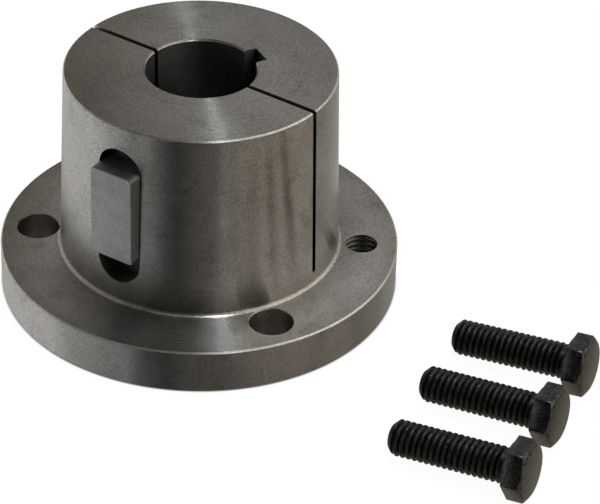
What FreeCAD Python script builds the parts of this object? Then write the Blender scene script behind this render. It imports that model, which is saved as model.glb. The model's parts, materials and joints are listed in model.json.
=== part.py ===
import FreeCAD, Part
import math
import os

import Sketcher

# A flanged bushing with a split tapered barrel, its loose key and its three cap screws.
# Millimetres. The origin is on the bore's axis in the flange's outer face, which the
# bushing stands on, and +Z runs up the bore to the barrel's small end.
# The keyseat on the taper faces -Y, and the holes in the flange are placed from there.

doc = FreeCAD.newDocument("quick_disconnect_bushing")
sheet = doc.addObject("Spreadsheet::Sheet", "Sizes")

# Driving dimensions: name and value. Angles are in degrees, from +X towards +Y.
SIZES = [
    # Flange and barrel
    ("flange_thickness", 12.0),
    ("barrel_length", 51.3),
    ("barrel_large_diameter", 73.4),
    ("taper_on_diameter", 0.0625),
    ("foot_fillet", 0.9),
    ("edge_break", 0.4),
    # Bore and its keyway
    ("bore_diameter", 28.575),
    ("bore_chamfer", 0.45),
    ("bore_keyway_width", 6.35),
    ("bore_keyway_depth", 3.175),
    ("bore_keyway_angle", 60.0),
    # Saw cuts, one line right through the barrel
    ("saw_cut_width", 1.4),
    ("saw_cut_angle", -1.6),
    ("saw_cut_stop", 3.6),
    # Loose key on the taper, and the keyseat that holds it
    ("key_width", 12.5),
    ("key_height", 7.94),
    ("key_length", 25.4),
    ("key_corner", 1.2),
    ("key_edge_break", 0.2),
    ("key_start", 14.4),
    ("key_side_play", 0.45),
    ("keyseat_depth", 5.75),
    ("keyseat_start", 5.95),
    ("keyseat_length", 38.9),
    # Holes in the flange, and the metal that each bolt hole leaves on either side
    ("hole_to_barrel", 0.60625),
    ("hole_to_rim", 3.96875),
    ("bolt_hole_play", 1.5875),
    ("bolt_hole_angle", 90.0),
    ("jack_hole_angle", 30.0),
    ("jack_hole_spread", 120.0),
    ("hole_edge_break", 0.25),
    # Cap screws: the nominal thread, and the sizes of a screw as made
    ("thread_diameter", 9.525),
    ("thread_allowance", 0.3),
    ("screw_length", 31.2),
    ("screw_point", 1.4),
    ("head_flats", 13.9),
    ("head_height", 5.55),
    ("head_chamfer_circle", 12.9),
    ("head_chamfer_angle", 30.0),
    ("washer_face_diameter", 13.2),
    ("washer_face_height", 0.4),
]

# Where each cap screw lies: the middle of the head's underside on the floor plan, and
# the way its head points. Their heights and tilts follow from their own sizes.
SCREW_PLACES = [
    ("cap_screw_1", 104.5, 13.7, 7.3),
    ("cap_screw_2", 108.1, -8.7, 6.1),
    ("cap_screw_3", 112.9, -31.3, 6.7),
]


def fill_sheet():
    """Write each driving dimension in a row of its own: its name and its value."""
    rows = list(SIZES)
    for label, x, y, heading in SCREW_PLACES:
        rows += [(label + "_x", x), (label + "_y", y), (label + "_heading", heading)]
    for row, (alias, value) in enumerate(rows, start=1):
        sheet.set(f"A{row}", alias)
        sheet.set(f"B{row}", str(value))
        sheet.setAlias(f"B{row}", alias)
    doc.recompute()


def size(expression):
    """The value now of an expression on the sheet's names."""
    value = sheet.evalExpression(expression)
    return float(getattr(value, "Value", value))


def new_body(label):
    body = doc.addObject("PartDesign::Body", label)
    body.Label = label
    return body


def origin_feature(body, role):
    """The plane or axis of the body's own origin with this role."""
    return next(item for item in body.Origin.OriginFeatures if item.Role == role)


def new_sketch(body, name, role, offset=None, turn=None):
    """A sketch on one of the body's origin planes.

    offset is an expression for its distance along the plane's normal, and turn one
    for its angle about the body's Z axis. That axis is the normal of a sketch that
    lies flat, and the upright axis of the others.
    """
    sketch = body.newObject("Sketcher::SketchObject", name)
    sketch.AttachmentSupport = [(origin_feature(body, role), "")]
    sketch.MapMode = "FlatFace"
    if turn:
        z_axis = FreeCAD.Vector(0, 0, 1) if role == "XY_Plane" else FreeCAD.Vector(0, 1, 0)
        rotation = FreeCAD.Rotation(z_axis, size(turn))
        sketch.AttachmentOffset = FreeCAD.Placement(FreeCAD.Vector(), rotation)
        sketch.setExpression("AttachmentOffset.Rotation.Angle", turn)
    if offset:
        sketch.setExpression("AttachmentOffset.Base.z", offset)
    return sketch


def bind(sketch, kind, *items, expression):
    """Add a constraint and bind its value to an expression."""
    index = sketch.addConstraint(Sketcher.Constraint(kind, *items, size(expression)))
    sketch.setExpression(f"Constraints[{index}]", expression)


def place_point(sketch, edge, end, x, y):
    """Fix one end of an edge by two expressions, measured from the sketch's origin."""
    for kind, expression, axis in (("DistanceX", x, -2), ("DistanceY", y, -1)):
        if expression == "0":
            sketch.addConstraint(Sketcher.Constraint("PointOnObject", edge, end, axis))
        else:
            bind(sketch, kind, -1, 1, edge, end, expression=expression)


def add_outline(sketch, corners):
    """Draw a closed outline of straight lines through corners given as expressions."""
    points = [FreeCAD.Vector(size(x), size(y), 0) for x, y in corners]
    edges = []
    for start, end in zip(points, points[1:] + points[:1]):
        edges.append(sketch.addGeometry(Part.LineSegment(start, end), False))
    for edge, following in zip(edges, edges[1:] + edges[:1]):
        sketch.addConstraint(Sketcher.Constraint("Coincident", edge, 2, following, 1))
    for edge, (x, y) in zip(edges, corners):
        place_point(sketch, edge, 1, x, y)


def add_axis(sketch, x, top):
    """Draw an upright construction line at x, for a revolved cut to turn about."""
    foot = FreeCAD.Vector(size(x), 0, 0)
    head = FreeCAD.Vector(size(x), size(top), 0)
    line = sketch.addGeometry(Part.LineSegment(foot, head), True)
    place_point(sketch, line, 1, x, "0")
    place_point(sketch, line, 2, x, top)


def add_slot(sketch, width, start, length):
    """Draw an upright slot with round ends, centred across the sketch's origin."""
    radius = f"({width}) / 2"
    low = f"({start}) + {radius}"
    high = f"({start}) + ({length}) - {radius}"
    up = FreeCAD.Vector(0, 0, 1)
    bottom_circle = Part.Circle(FreeCAD.Vector(0, size(low), 0), up, size(radius))
    top_circle = Part.Circle(FreeCAD.Vector(0, size(high), 0), up, size(radius))
    bottom = sketch.addGeometry(Part.ArcOfCircle(bottom_circle, math.pi, 2 * math.pi), False)
    top = sketch.addGeometry(Part.ArcOfCircle(top_circle, 0, math.pi), False)
    half, y0, y1 = size(radius), size(low), size(high)
    right = sketch.addGeometry(
        Part.LineSegment(FreeCAD.Vector(half, y0, 0), FreeCAD.Vector(half, y1, 0)), False
    )
    left = sketch.addGeometry(
        Part.LineSegment(FreeCAD.Vector(-half, y1, 0), FreeCAD.Vector(-half, y0, 0)), False
    )
    for first, first_end, second, second_end in (
        (bottom, 2, right, 1),
        (right, 2, top, 1),
        (top, 2, left, 1),
        (left, 2, bottom, 1),
    ):
        sketch.addConstraint(
            Sketcher.Constraint("Tangent", first, first_end, second, second_end)
        )
    place_point(sketch, bottom, 3, "0", low)
    place_point(sketch, top, 3, "0", high)
    bind(sketch, "Radius", bottom, expression=radius)


def revolve(body, name, sketch):
    """Turn a closed outline right round the sketch's upright axis."""
    solid = body.newObject("PartDesign::Revolution", name)
    solid.Profile = sketch
    solid.ReferenceAxis = (sketch, ["V_Axis"])
    solid.Angle = 360
    return solid


def pad(body, name, sketch, length):
    solid = body.newObject("PartDesign::Pad", name)
    solid.Profile = sketch
    solid.setExpression("Length", length)
    return solid


def check_cut(feature):
    """Stop if a cut took nothing away from the solid that it works on."""
    doc.recompute()
    removed = feature.BaseFeature.Shape.Volume - feature.Shape.Volume
    if removed <= 0:
        raise RuntimeError(feature.Name + " cuts nothing")


def pocket(body, name, sketch, length, outward):
    """Cut a sketch's outline out, along the sketch's normal when outward is true."""
    cut = body.newObject("PartDesign::Pocket", name)
    cut.Profile = sketch
    cut.Reversed = outward
    cut.setExpression("Length", length)
    check_cut(cut)
    return cut


def groove(body, name, sketch, axis="Axis0"):
    """Cut a closed outline turned right round an axis of its sketch."""
    cut = body.newObject("PartDesign::Groove", name)
    cut.Profile = sketch
    cut.ReferenceAxis = (sketch, [axis])
    cut.Angle = 360
    check_cut(cut)
    return cut


def polar_pattern(body, name, feature, count, angle):
    """Repeat a cut round the body's Z axis. angle is an expression for the whole sweep."""
    pattern = body.newObject("PartDesign::PolarPattern", name)
    pattern.Originals = [feature]
    pattern.Axis = (origin_feature(body, "Z_Axis"), [""])
    pattern.Occurrences = count
    pattern.setExpression("Angle", angle)
    body.Tip = pattern
    doc.recompute()
    return pattern


def circle_edges(feature, rings):
    """Names of the feature's edges that are rings, each given by its radius and height."""
    names = []
    for number, edge in enumerate(feature.Shape.Edges, start=1):
        if not isinstance(edge.Curve, Part.Circle):
            continue
        for radius, height in rings:
            if math.isclose(edge.Curve.Radius, size(radius), abs_tol=1e-4) and math.isclose(
                edge.Curve.Center.z, size(height), abs_tol=1e-4
            ):
                names.append(f"Edge{number}")
    return names


def dress(body, kind, name, base, edges, amount):
    """Fillet or chamfer the named edges by an expression."""
    feature = body.newObject("PartDesign::" + kind, name)
    feature.Base = (base, edges)
    feature.setExpression("Radius" if kind == "Fillet" else "Size", amount)
    doc.recompute()
    return feature


# Flanged bushing

OVERALL = "Sizes.flange_thickness + Sizes.barrel_length"
BORE_RADIUS = "Sizes.bore_diameter / 2"
BARREL_FOOT = "Sizes.barrel_large_diameter / 2"
BARREL_TOP = f"{BARREL_FOOT} - Sizes.barrel_length * Sizes.taper_on_diameter / 2"
KEYSEAT_FLOOR = f"{BARREL_FOOT} - Sizes.keyseat_depth"

# The bolt circle lies just clear of the barrel, and the flange just clear of the bolts.
BOLT_HOLE_RADIUS = "(Sizes.thread_diameter + Sizes.bolt_hole_play) / 2"
BOLT_CIRCLE_RADIUS = f"{BARREL_FOOT} + Sizes.hole_to_barrel + {BOLT_HOLE_RADIUS}"
FLANGE_RADIUS = f"{BOLT_CIRCLE_RADIUS} + {BOLT_HOLE_RADIUS} + Sizes.hole_to_rim"


def turn_blank(body):
    """The flange and the tapered barrel, turned and bored in one piece."""
    outline = new_sketch(body, "TurnedOutline", "XZ_Plane")
    add_outline(
        outline,
        [
            (BORE_RADIUS, "0"),
            (FLANGE_RADIUS, "0"),
            (FLANGE_RADIUS, "Sizes.flange_thickness"),
            (BARREL_FOOT, "Sizes.flange_thickness"),
            (BARREL_TOP, OVERALL),
            (BORE_RADIUS, OVERALL),
        ],
    )
    blank = revolve(body, "TurnedBlank", outline)
    doc.recompute()

    foot = circle_edges(blank, [(BARREL_FOOT, "Sizes.flange_thickness")])
    fillet = dress(body, "Fillet", "FootFillet", blank, foot, "Sizes.foot_fillet")
    rims = circle_edges(
        fillet,
        [
            (FLANGE_RADIUS, "0"),
            (FLANGE_RADIUS, "Sizes.flange_thickness"),
            (BARREL_TOP, OVERALL),
        ],
    )
    rim_chamfer = dress(body, "Chamfer", "RimChamfers", fillet, rims, "Sizes.edge_break")
    bore_ends = circle_edges(rim_chamfer, [(BORE_RADIUS, "0"), (BORE_RADIUS, OVERALL)])
    dress(body, "Chamfer", "BoreChamfers", rim_chamfer, bore_ends, "Sizes.bore_chamfer")


def cut_bore_keyway(body):
    """A straight keyway through the whole bore. Its depth is measured at its sides."""
    half_width = "Sizes.bore_keyway_width / 2"
    side = f"sqrt(({BORE_RADIUS}) ^ 2 - ({half_width}) ^ 2)"
    reach = f"{side} + Sizes.bore_keyway_depth"
    outline = new_sketch(body, "BoreKeywayOutline", "XY_Plane", turn="Sizes.bore_keyway_angle")
    add_outline(
        outline,
        [
            ("0", f"-({half_width})"),
            (reach, f"-({half_width})"),
            (reach, half_width),
            ("0", half_width),
        ],
    )
    pocket(body, "BoreKeyway", outline, OVERALL, outward=True)


def cut_saw_slits(body):
    """One saw cut down the barrel from its small end. It stops above the flange."""
    half_width = "Sizes.saw_cut_width / 2"
    half_length = f"{BARREL_FOOT} + Sizes.saw_cut_width"
    outline = new_sketch(body, "SawCutOutline", "XY_Plane", OVERALL, "Sizes.saw_cut_angle")
    add_outline(
        outline,
        [
            (f"-({half_length})", f"-({half_width})"),
            (half_length, f"-({half_width})"),
            (half_length, half_width),
            (f"-({half_length})", half_width),
        ],
    )
    depth = "Sizes.barrel_length - Sizes.saw_cut_stop"
    pocket(body, "SawCut", outline, depth, outward=False)


def cut_keyseat(body):
    """The end-milled seat for the loose key, with a flat floor and round ends."""
    outline = new_sketch(body, "KeyseatOutline", "XZ_Plane", offset=KEYSEAT_FLOOR)
    add_slot(
        outline,
        "Sizes.key_width + Sizes.key_side_play",
        "Sizes.flange_thickness + Sizes.keyseat_start",
        "Sizes.keyseat_length",
    )
    pocket(body, "Keyseat", outline, FLANGE_RADIUS, outward=True)


def cut_flange_hole(body, name, radius, angle):
    """One hole through the flange on the bolt circle, with both its rims broken.

    The cut runs on above the flange's face, to clear the fillet at the barrel's foot.
    """
    wall = f"{BOLT_CIRCLE_RADIUS} + {radius}"
    rim = f"{wall} + Sizes.hole_edge_break"
    clear = "Sizes.flange_thickness + Sizes.foot_fillet"
    outline = new_sketch(body, name + "Outline", "YZ_Plane", turn=f"{angle} - 90")
    add_outline(
        outline,
        [
            (BOLT_CIRCLE_RADIUS, "0"),
            (rim, "0"),
            (wall, "Sizes.hole_edge_break"),
            (wall, "Sizes.flange_thickness - Sizes.hole_edge_break"),
            (rim, "Sizes.flange_thickness"),
            (rim, clear),
            (BOLT_CIRCLE_RADIUS, clear),
        ],
    )
    add_axis(outline, BOLT_CIRCLE_RADIUS, clear)
    return groove(body, name, outline)


def make_bushing():
    body = new_body("flanged_bushing")
    turn_blank(body)
    cut_bore_keyway(body)
    cut_saw_slits(body)
    cut_keyseat(body)

    bolt_hole = cut_flange_hole(body, "BoltHole", BOLT_HOLE_RADIUS, "Sizes.bolt_hole_angle")
    polar_pattern(body, "BoltHoles", bolt_hole, count=3, angle="360")

    # The jack holes are cut to the outer diameter of their thread, whose fine ridges
    # are left off.
    jack_radius = "Sizes.thread_diameter / 2"
    jack_hole = cut_flange_hole(body, "JackHole", jack_radius, "Sizes.jack_hole_angle")
    polar_pattern(body, "JackHoles", jack_hole, count=2, angle="Sizes.jack_hole_spread")
    return body


# Loose key on the taper


def make_key():
    """A short flat key with rounded corners. It lies on the keyseat's floor."""
    body = new_body("barrel_key")
    half_width = "Sizes.key_width / 2"
    low = "Sizes.flange_thickness + Sizes.key_start"
    high = f"{low} + Sizes.key_length"
    outline = new_sketch(body, "KeyOutline", "XZ_Plane", offset=KEYSEAT_FLOOR)
    add_outline(
        outline,
        [
            (f"-({half_width})", low),
            (half_width, low),
            (half_width, high),
            (f"-({half_width})", high),
        ],
    )
    blank = pad(body, "KeyBlank", outline, "Sizes.key_height")
    doc.recompute()

    corners = []
    for number, edge in enumerate(blank.Shape.Edges, start=1):
        if abs(edge.tangentAt(edge.FirstParameter).y) > 0.99:
            corners.append(f"Edge{number}")
    rounded = dress(body, "Fillet", "KeyCorners", blank, corners, "Sizes.key_corner")

    outer_face = -size(f"{KEYSEAT_FLOOR} + Sizes.key_height")
    rim = []
    for number, edge in enumerate(rounded.Shape.Edges, start=1):
        if math.isclose(edge.BoundBox.YMax, outer_face, abs_tol=1e-3):
            rim.append(f"Edge{number}")
    dress(body, "Chamfer", "KeyRim", rounded, rim, "Sizes.key_edge_break")
    return body


# Cap screws

SCREW_RADIUS = "(Sizes.thread_diameter - Sizes.thread_allowance) / 2"

# A screw lies on the lower edge of its head and on the crest nearest its point.
SCREW_TILT = (
    f"atan((Sizes.head_flats / 2 - {SCREW_RADIUS})"
    " / (Sizes.screw_length - Sizes.screw_point + Sizes.washer_face_height))"
)
SCREW_HEIGHT = (
    f"Sizes.head_flats / 2 * cos({SCREW_TILT})"
    f" - Sizes.washer_face_height * sin({SCREW_TILT})"
)


def make_screw(label):
    """A hex head cap screw, made upright with the head's underside at its own origin."""
    body = new_body(label)
    washer_radius = "Sizes.washer_face_diameter / 2"
    outline = new_sketch(body, "ShankOutline", "XZ_Plane")
    add_outline(
        outline,
        [
            ("0", "-Sizes.screw_length"),
            (f"{SCREW_RADIUS} - Sizes.screw_point", "-Sizes.screw_length"),
            (SCREW_RADIUS, "-Sizes.screw_length + Sizes.screw_point"),
            (SCREW_RADIUS, "0"),
            (washer_radius, "0"),
            (washer_radius, "Sizes.washer_face_height"),
            ("0", "Sizes.washer_face_height"),
        ],
    )
    revolve(body, "Shank", outline)

    half_flats = "Sizes.head_flats / 2"
    half_side = f"{half_flats} * tan(30)"
    corner = f"{half_flats} / cos(30)"
    hexagon = new_sketch(body, "HeadOutline", "XY_Plane", offset="Sizes.washer_face_height")
    add_outline(
        hexagon,
        [
            ("0", f"-({corner})"),
            (half_flats, f"-({half_side})"),
            (half_flats, half_side),
            ("0", corner),
            (f"-({half_flats})", half_side),
            (f"-({half_flats})", f"-({half_side})"),
        ],
    )
    pad(body, "Head", hexagon, "Sizes.head_height - Sizes.washer_face_height")
    doc.recompute()

    circle = "Sizes.head_chamfer_circle / 2"
    beyond = "Sizes.head_flats"
    drop = f"({beyond} - {circle}) * tan(Sizes.head_chamfer_angle)"
    chamfer = new_sketch(body, "HeadChamferOutline", "XZ_Plane")
    add_outline(
        chamfer,
        [
            (circle, "Sizes.head_height"),
            (beyond, f"Sizes.head_height - {drop}"),
            (beyond, "Sizes.head_height"),
        ],
    )
    groove(body, "HeadChamfer", chamfer, axis="V_Axis")

    body.setExpression(
        "Placement",
        "create(<<placement>>;"
        f" create(<<vector>>; Sizes.{label}_x; Sizes.{label}_y; {SCREW_HEIGHT});"
        f" create(<<rotation>>; Sizes.{label}_heading; 90 deg - {SCREW_TILT}; 0))",
    )
    return body


# Checks and files


def check_document():
    """Stop if any object failed, or if a sub-part isn't one sound solid."""
    for item in doc.Objects:
        if "Invalid" in item.State or "Error" in item.State:
            raise RuntimeError(item.Name + " failed: " + ", ".join(item.State))
    for body in bodies:
        if body.Shape.isNull() or not body.Shape.isValid():
            raise RuntimeError(body.Label + " has no valid shape")
        if len(body.Shape.Solids) != 1:
            raise RuntimeError(body.Label + " isn't one solid")


fill_sheet()
bodies = [make_bushing(), make_key()]
bodies += [make_screw(label) for label, x, y, heading in SCREW_PLACES]
doc.recompute()
check_document()

os.makedirs("parts", exist_ok=True)
for body in bodies:
    body.Shape.exportStep(f"parts/{body.Label}.step")
    box = body.Shape.BoundBox
    print(
        f"{body.Label}: {body.Shape.Volume:.1f} mm3,"
        f" x {box.XMin:.3f} to {box.XMax:.3f},"
        f" y {box.YMin:.3f} to {box.YMax:.3f},"
        f" z {box.ZMin:.3f} to {box.ZMax:.3f}"
    )
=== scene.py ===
# %% [markdown]
# # A quick disconnect bushing and its cap screws
# The object is a flanged steel bushing. Its barrel tapers and is sawn through on both
# sides, so that it closes on a shaft when it is drawn into a hub. A loose key lies in a
# seat on the taper, and three black cap screws lie beside it on the floor.
#
# The exact shapes come from a CAD model, loaded here as a fixed frame that nothing moves.
# This lesson gives each surface its finish and makes the threads that the model leaves plain.

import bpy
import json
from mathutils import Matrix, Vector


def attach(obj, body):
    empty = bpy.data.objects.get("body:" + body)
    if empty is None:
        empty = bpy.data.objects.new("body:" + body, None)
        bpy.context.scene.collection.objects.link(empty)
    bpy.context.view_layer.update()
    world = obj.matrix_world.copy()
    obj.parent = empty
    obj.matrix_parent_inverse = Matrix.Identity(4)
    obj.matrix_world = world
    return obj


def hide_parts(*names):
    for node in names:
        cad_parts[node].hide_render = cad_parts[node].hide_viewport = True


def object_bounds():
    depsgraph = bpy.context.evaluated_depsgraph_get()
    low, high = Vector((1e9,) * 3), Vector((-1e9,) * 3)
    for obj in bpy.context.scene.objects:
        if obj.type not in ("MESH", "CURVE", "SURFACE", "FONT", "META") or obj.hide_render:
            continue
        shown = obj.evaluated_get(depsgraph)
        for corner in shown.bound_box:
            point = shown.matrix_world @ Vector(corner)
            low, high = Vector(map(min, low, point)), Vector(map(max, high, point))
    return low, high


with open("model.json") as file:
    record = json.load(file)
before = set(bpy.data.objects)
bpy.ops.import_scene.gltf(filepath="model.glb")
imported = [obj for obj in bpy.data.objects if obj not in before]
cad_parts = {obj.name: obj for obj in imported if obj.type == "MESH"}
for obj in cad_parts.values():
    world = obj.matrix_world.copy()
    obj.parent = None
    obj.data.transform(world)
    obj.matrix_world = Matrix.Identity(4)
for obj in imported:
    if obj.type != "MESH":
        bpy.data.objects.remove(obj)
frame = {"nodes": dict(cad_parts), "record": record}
cad_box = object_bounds()
print("nodes:", ", ".join(sorted(frame["nodes"])))

# %% Tools and units
import json
import math

import bmesh
import bpy
import numpy as np
from mathutils import Matrix, Vector

MM = 0.001


def in_mm(values):
    """Lengths in millimetres, rounded for printing."""
    return [round(float(value) / MM, 2) for value in values]


print("CAD box in mm:", in_mm(cad_box[0]), "to", in_mm(cad_box[1]))

# %% [markdown]
# ## The camera
# The picture is taken with a long lens from in front and above, about three quarters of a
# metre away. The camera could be placed by eye, but then the edges would miss those in the
# photograph by several pixels. Its place and turn were found by fitting the bushing's
# circles to the outlines there. A camera looks along its own -Z, so it is tipped up from
# straight down by what is left of a right angle, turned to its heading, and rolled about
# its line of sight.

# %% Camera
CAMERA_PLACE = Vector((340.11, -491.6, 420.05)) * MM
CAMERA_HEADING = math.radians(-32.118)
CAMERA_PITCH = math.radians(34.634)
CAMERA_ROLL = math.radians(-1.965)
LENS = 164.0


def make_camera():
    """A camera at its place. Its heading is measured from +Y towards +X."""
    camera = bpy.data.objects.new("camera", bpy.data.cameras.new("camera"))
    bpy.context.scene.collection.objects.link(camera)
    camera.data.lens = LENS
    heading = Matrix.Rotation(-CAMERA_HEADING, 4, "Z")
    tip = Matrix.Rotation(math.pi / 2 - CAMERA_PITCH, 4, "X")
    roll = Matrix.Rotation(-CAMERA_ROLL, 4, "Z")
    camera.matrix_world = Matrix.Translation(CAMERA_PLACE) @ heading @ tip @ roll
    bpy.context.scene.camera = camera
    return camera


camera = make_camera()
bpy.context.scene.view_settings.view_transform = "Standard"
print("camera distance in mm:", round(camera.location.length / MM, 1))

# %% [markdown]
# ## Shader maths as Python
# A finish is a network of nodes. Drawing one by hand takes many clicks, and typing each
# node and link takes many lines. A small class that wraps a socket lets Python's own signs
# add the Math nodes, so that a formula for a surface reads like a formula. All other nodes
# come from one method, which takes a node's type, its settings and what its sockets get.

# %% A wire
class Wire:
    """A node's output. Arithmetic on it adds Math nodes, and gives another wire."""

    def __init__(self, nodes, socket):
        self.nodes = nodes
        self.socket = socket

    def output(self, name):
        """Another output of the same node."""
        return Wire(self.nodes, self.socket.node.outputs[name])

    def math(self, operation, *others):
        """A Math node that takes this wire first."""
        return self.nodes.math(operation, self, *others)

    def __add__(self, other):
        return self.math("ADD", other)

    def __radd__(self, other):
        return self.math("ADD", other)

    def __sub__(self, other):
        return self.math("SUBTRACT", other)

    def __rsub__(self, other):
        return self.nodes.math("SUBTRACT", other, self)

    def __mul__(self, other):
        return self.math("MULTIPLY", other)

    def __rmul__(self, other):
        return self.math("MULTIPLY", other)

    def __truediv__(self, other):
        return self.math("DIVIDE", other)

    def __rtruediv__(self, other):
        return self.nodes.math("DIVIDE", other, self)

    def __pow__(self, other):
        return self.math("POWER", other)

    def __neg__(self):
        return self.nodes.math("SUBTRACT", 0.0, self)

    def __abs__(self):
        return self.math("ABSOLUTE")


print("signs that a wire understands: + - * / ** and a leading minus, and abs()")

# %% Stops of a ramp
def set_stops(ramp, stops):
    """Give a ramp new stops: pairs of a place and a colour, in rising order."""
    while len(ramp.elements) > 1:
        ramp.elements.remove(ramp.elements[-1])
    ramp.elements[0].position, ramp.elements[0].color = stops[0]
    for position, colour in stops[1:]:
        ramp.elements.new(position).color = colour


print("a ramp keeps only its first stop, which moves, before it gets the others")

# %% A sheet of nodes
# A Mix node has sockets for numbers, vectors and colours. These are the places of the last.
MIX_COLOUR_A = 6
MIX_COLOUR_B = 7
MIX_COLOUR_RESULT = 2


class Nodes:
    """The node tree of a material or of the world. One method adds any node."""

    def __init__(self, owner):
        owner.use_nodes = True
        self.tree = owner.node_tree
        self.tree.nodes.clear()

    def add(self, kind, settings=None, inputs=None, output=0):
        """A new node: its settings come first, then the values or wires of its sockets."""
        node = self.tree.nodes.new(kind)
        for name, value in (settings or {}).items():
            if name == "stops":
                set_stops(node.color_ramp, value)
            else:
                setattr(node, name, value)
        for place, value in (inputs or {}).items():
            if isinstance(value, Wire):
                self.tree.links.new(value.socket, node.inputs[place])
            else:
                node.inputs[place].default_value = value
        return Wire(self, node.outputs[output] if len(node.outputs) else None)

    def math(self, operation, *values):
        """A Math node of numbers and wires."""
        return self.add("ShaderNodeMath", {"operation": operation}, dict(enumerate(values)))

    def step(self, value, low, high):
        """0 below low and 1 above high, with a smooth rise between them."""
        return self.add(
            "ShaderNodeMapRange",
            {"interpolation_type": "SMOOTHSTEP"},
            {"Value": value, "From Min": low, "From Max": high},
        )

    def blend(self, share, first, second, blend_type="MIX"):
        """A colour between two others, as a share from 0 to 1 says."""
        return self.add(
            "ShaderNodeMix",
            {"data_type": "RGBA", "blend_type": blend_type},
            {0: share, MIX_COLOUR_A: first, MIX_COLOUR_B: second},
            MIX_COLOUR_RESULT,
        )

    def noise(self, vector, scale, detail, roughness):
        """Smooth random values about 0.5."""
        inputs = {"Vector": vector, "Scale": scale, "Detail": detail, "Roughness": roughness}
        return self.add("ShaderNodeTexNoise", {}, inputs)


print("methods of a sheet: add, and in short for common nodes math, step, blend and noise")

# %% A trial of wire and sheet
def trial_operations():
    """The Math nodes that a small formula adds to a scratch material."""
    trial = bpy.data.materials.new("trial")
    formula = 1.0 - Nodes(trial).add("ShaderNodeValue") * 2.0
    operations = [node.operation for node in formula.nodes.tree.nodes if node.type == "MATH"]
    bpy.data.materials.remove(trial)
    return operations


print("the formula 1 - 2v adds these nodes:", ", ".join(trial_operations()))

# %% Colours, and numbers that vary
RED_GAIN = 0.75
BLUE_LOSS = 1.25


def grey(value, warmth=0.0):
    """A grey colour. Warmth takes more from its blue than it adds to its red."""
    return (value * (1 + RED_GAIN * warmth), value, value * (1 - BLUE_LOSS * warmth), 1.0)


def between(share, first, second):
    """A number between two others, as a share from 0 to 1 says."""
    return first + share * (second - first)


def swing(noise, extent):
    """Noise as a change about 0, half of its extent either way."""
    return (noise - 0.5) * extent


BLACK = grey(0.0)
WHITE = grey(1.0)
print("a warm middle grey:", [round(channel, 3) for channel in grey(0.5, 0.1)])

# %% [markdown]
# ## The room that the metal mirrors
# Bare metal has no colour of its own to speak of: it shows the room. The photograph's
# barrel is pale on the left, nearly black where the camera stands, and a warm middle grey
# on the right. So the room here is two rings of light round the object, one low and one
# above it, each painted by its direction on the floor plan. A dozen lamps and cards could
# stand there instead, as in a studio, but a painted ring is smooth and quick to adjust.
#
# A ramp holds each ring: its stops are directions, and the colour changes evenly between
# them. Only metal sees the rings. The camera itself sees a plain white wall and floor.

# %% Low ring
# Azimuth in degrees from +X towards +Y, brightness, and warmth.
LOW_RING = [
    (-180, 0.8, 0.0),
    (-150, 0.84, 0.0),
    (-135, 0.52, 0.0),
    (-108, 0.33, 0.0),
    (-97, 0.31, -0.01),
    (-89, 0.14, 0.0),
    (-83, 0.09, 0.01),
    (-74, 0.048, 0.02),
    (-60, 0.1, 0.08),
    (-41, 0.15, 0.11),
    (-37, 0.31, 0.0),
    (-33, 0.23, 0.12),
    (-11, 0.35, 0.14),
    (2, 0.35, 0.14),
    (14, 0.33, 0.15),
    (38, 0.37, 0.14),
    (50, 0.26, 0.12),
    (62, 0.3, 0.11),
    (100, 0.46, 0.05),
    (120, 0.48, 0.0),
    (140, 0.68, 0.0),
    (160, 0.76, 0.0),
    (180, 0.8, 0.0),
]


def print_extremes(name, ring):
    """Say in which directions a ring is darkest and brightest."""
    stops = sorted(ring, key=lambda stop: stop[1])
    print(name, "is darkest at", stops[0][0], "and brightest at", stops[-1][0], "degrees")


print_extremes("low ring", LOW_RING)

# %% High ring
# Azimuth, brightness and warmth, as in the low ring.
HIGH_RING = [
    (-180, 0.26, 0.03),
    (-160, 0.2, 0.03),
    (-140, 0.12, 0.03),
    (-112, 0.035, 0.03),
    (-60, 0.03, 0.03),
    (-30, 0.3, 0.05),
    (0, 0.9, 0.05),
    (50, 1.0, 0.04),
    (90, 0.5, 0.04),
    (125, 0.28, 0.04),
    (160, 0.28, 0.03),
    (180, 0.26, 0.03),
]
print_extremes("high ring", HIGH_RING)

# %% World
# Heights on a sphere of radius 1 between which one part of the room gives way to the next.
LOW_TO_HIGH = (0.0, 0.35)
HIGH_TO_OVERHEAD = (0.8, 0.99)
OVERHEAD = grey(0.33, 0.03)
AMBIENT = grey(0.8)


def ring_light(nodes, angle, ring):
    """A ring's colour at an angle in radians. A ramp's stops are shares of a turn from -X."""
    stops = [((azimuth + 180) / 360, grey(level, warmth)) for azimuth, level, warmth in ring]
    turn = (angle / (2 * math.pi) + 0.5).math("FRACT")
    return nodes.add("ShaderNodeValToRGB", {"stops": stops}, {"Fac": turn})


def paint_world():
    """White for the camera, the rings for metal, and an even grey for everything else."""
    world = bpy.data.worlds.new("studio")
    bpy.context.scene.world = world
    nodes = Nodes(world)
    direction = nodes.add("ShaderNodeTexCoord", output="Generated")
    x = nodes.add("ShaderNodeSeparateXYZ", {}, {0: direction})
    height = x.output("Z")
    angle = x.output("Y").math("ARCTAN2", x)
    low = ring_light(nodes, angle, LOW_RING)
    high = ring_light(nodes, angle, HIGH_RING)
    room = nodes.blend(nodes.step(height, *LOW_TO_HIGH), low, high)
    room = nodes.blend(nodes.step(height, *HIGH_TO_OVERHEAD), room, OVERHEAD)
    path = nodes.add("ShaderNodeLightPath", output="Is Glossy Ray")
    seen = nodes.blend(path, AMBIENT, room)
    for_camera = path.output("Is Camera Ray") + path.output("Is Transmission Ray")
    colour = nodes.blend(for_camera, seen, WHITE)
    background = nodes.add("ShaderNodeBackground", {}, {"Color": colour})
    nodes.add("ShaderNodeOutputWorld", {}, {"Surface": background})
    return world


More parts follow.
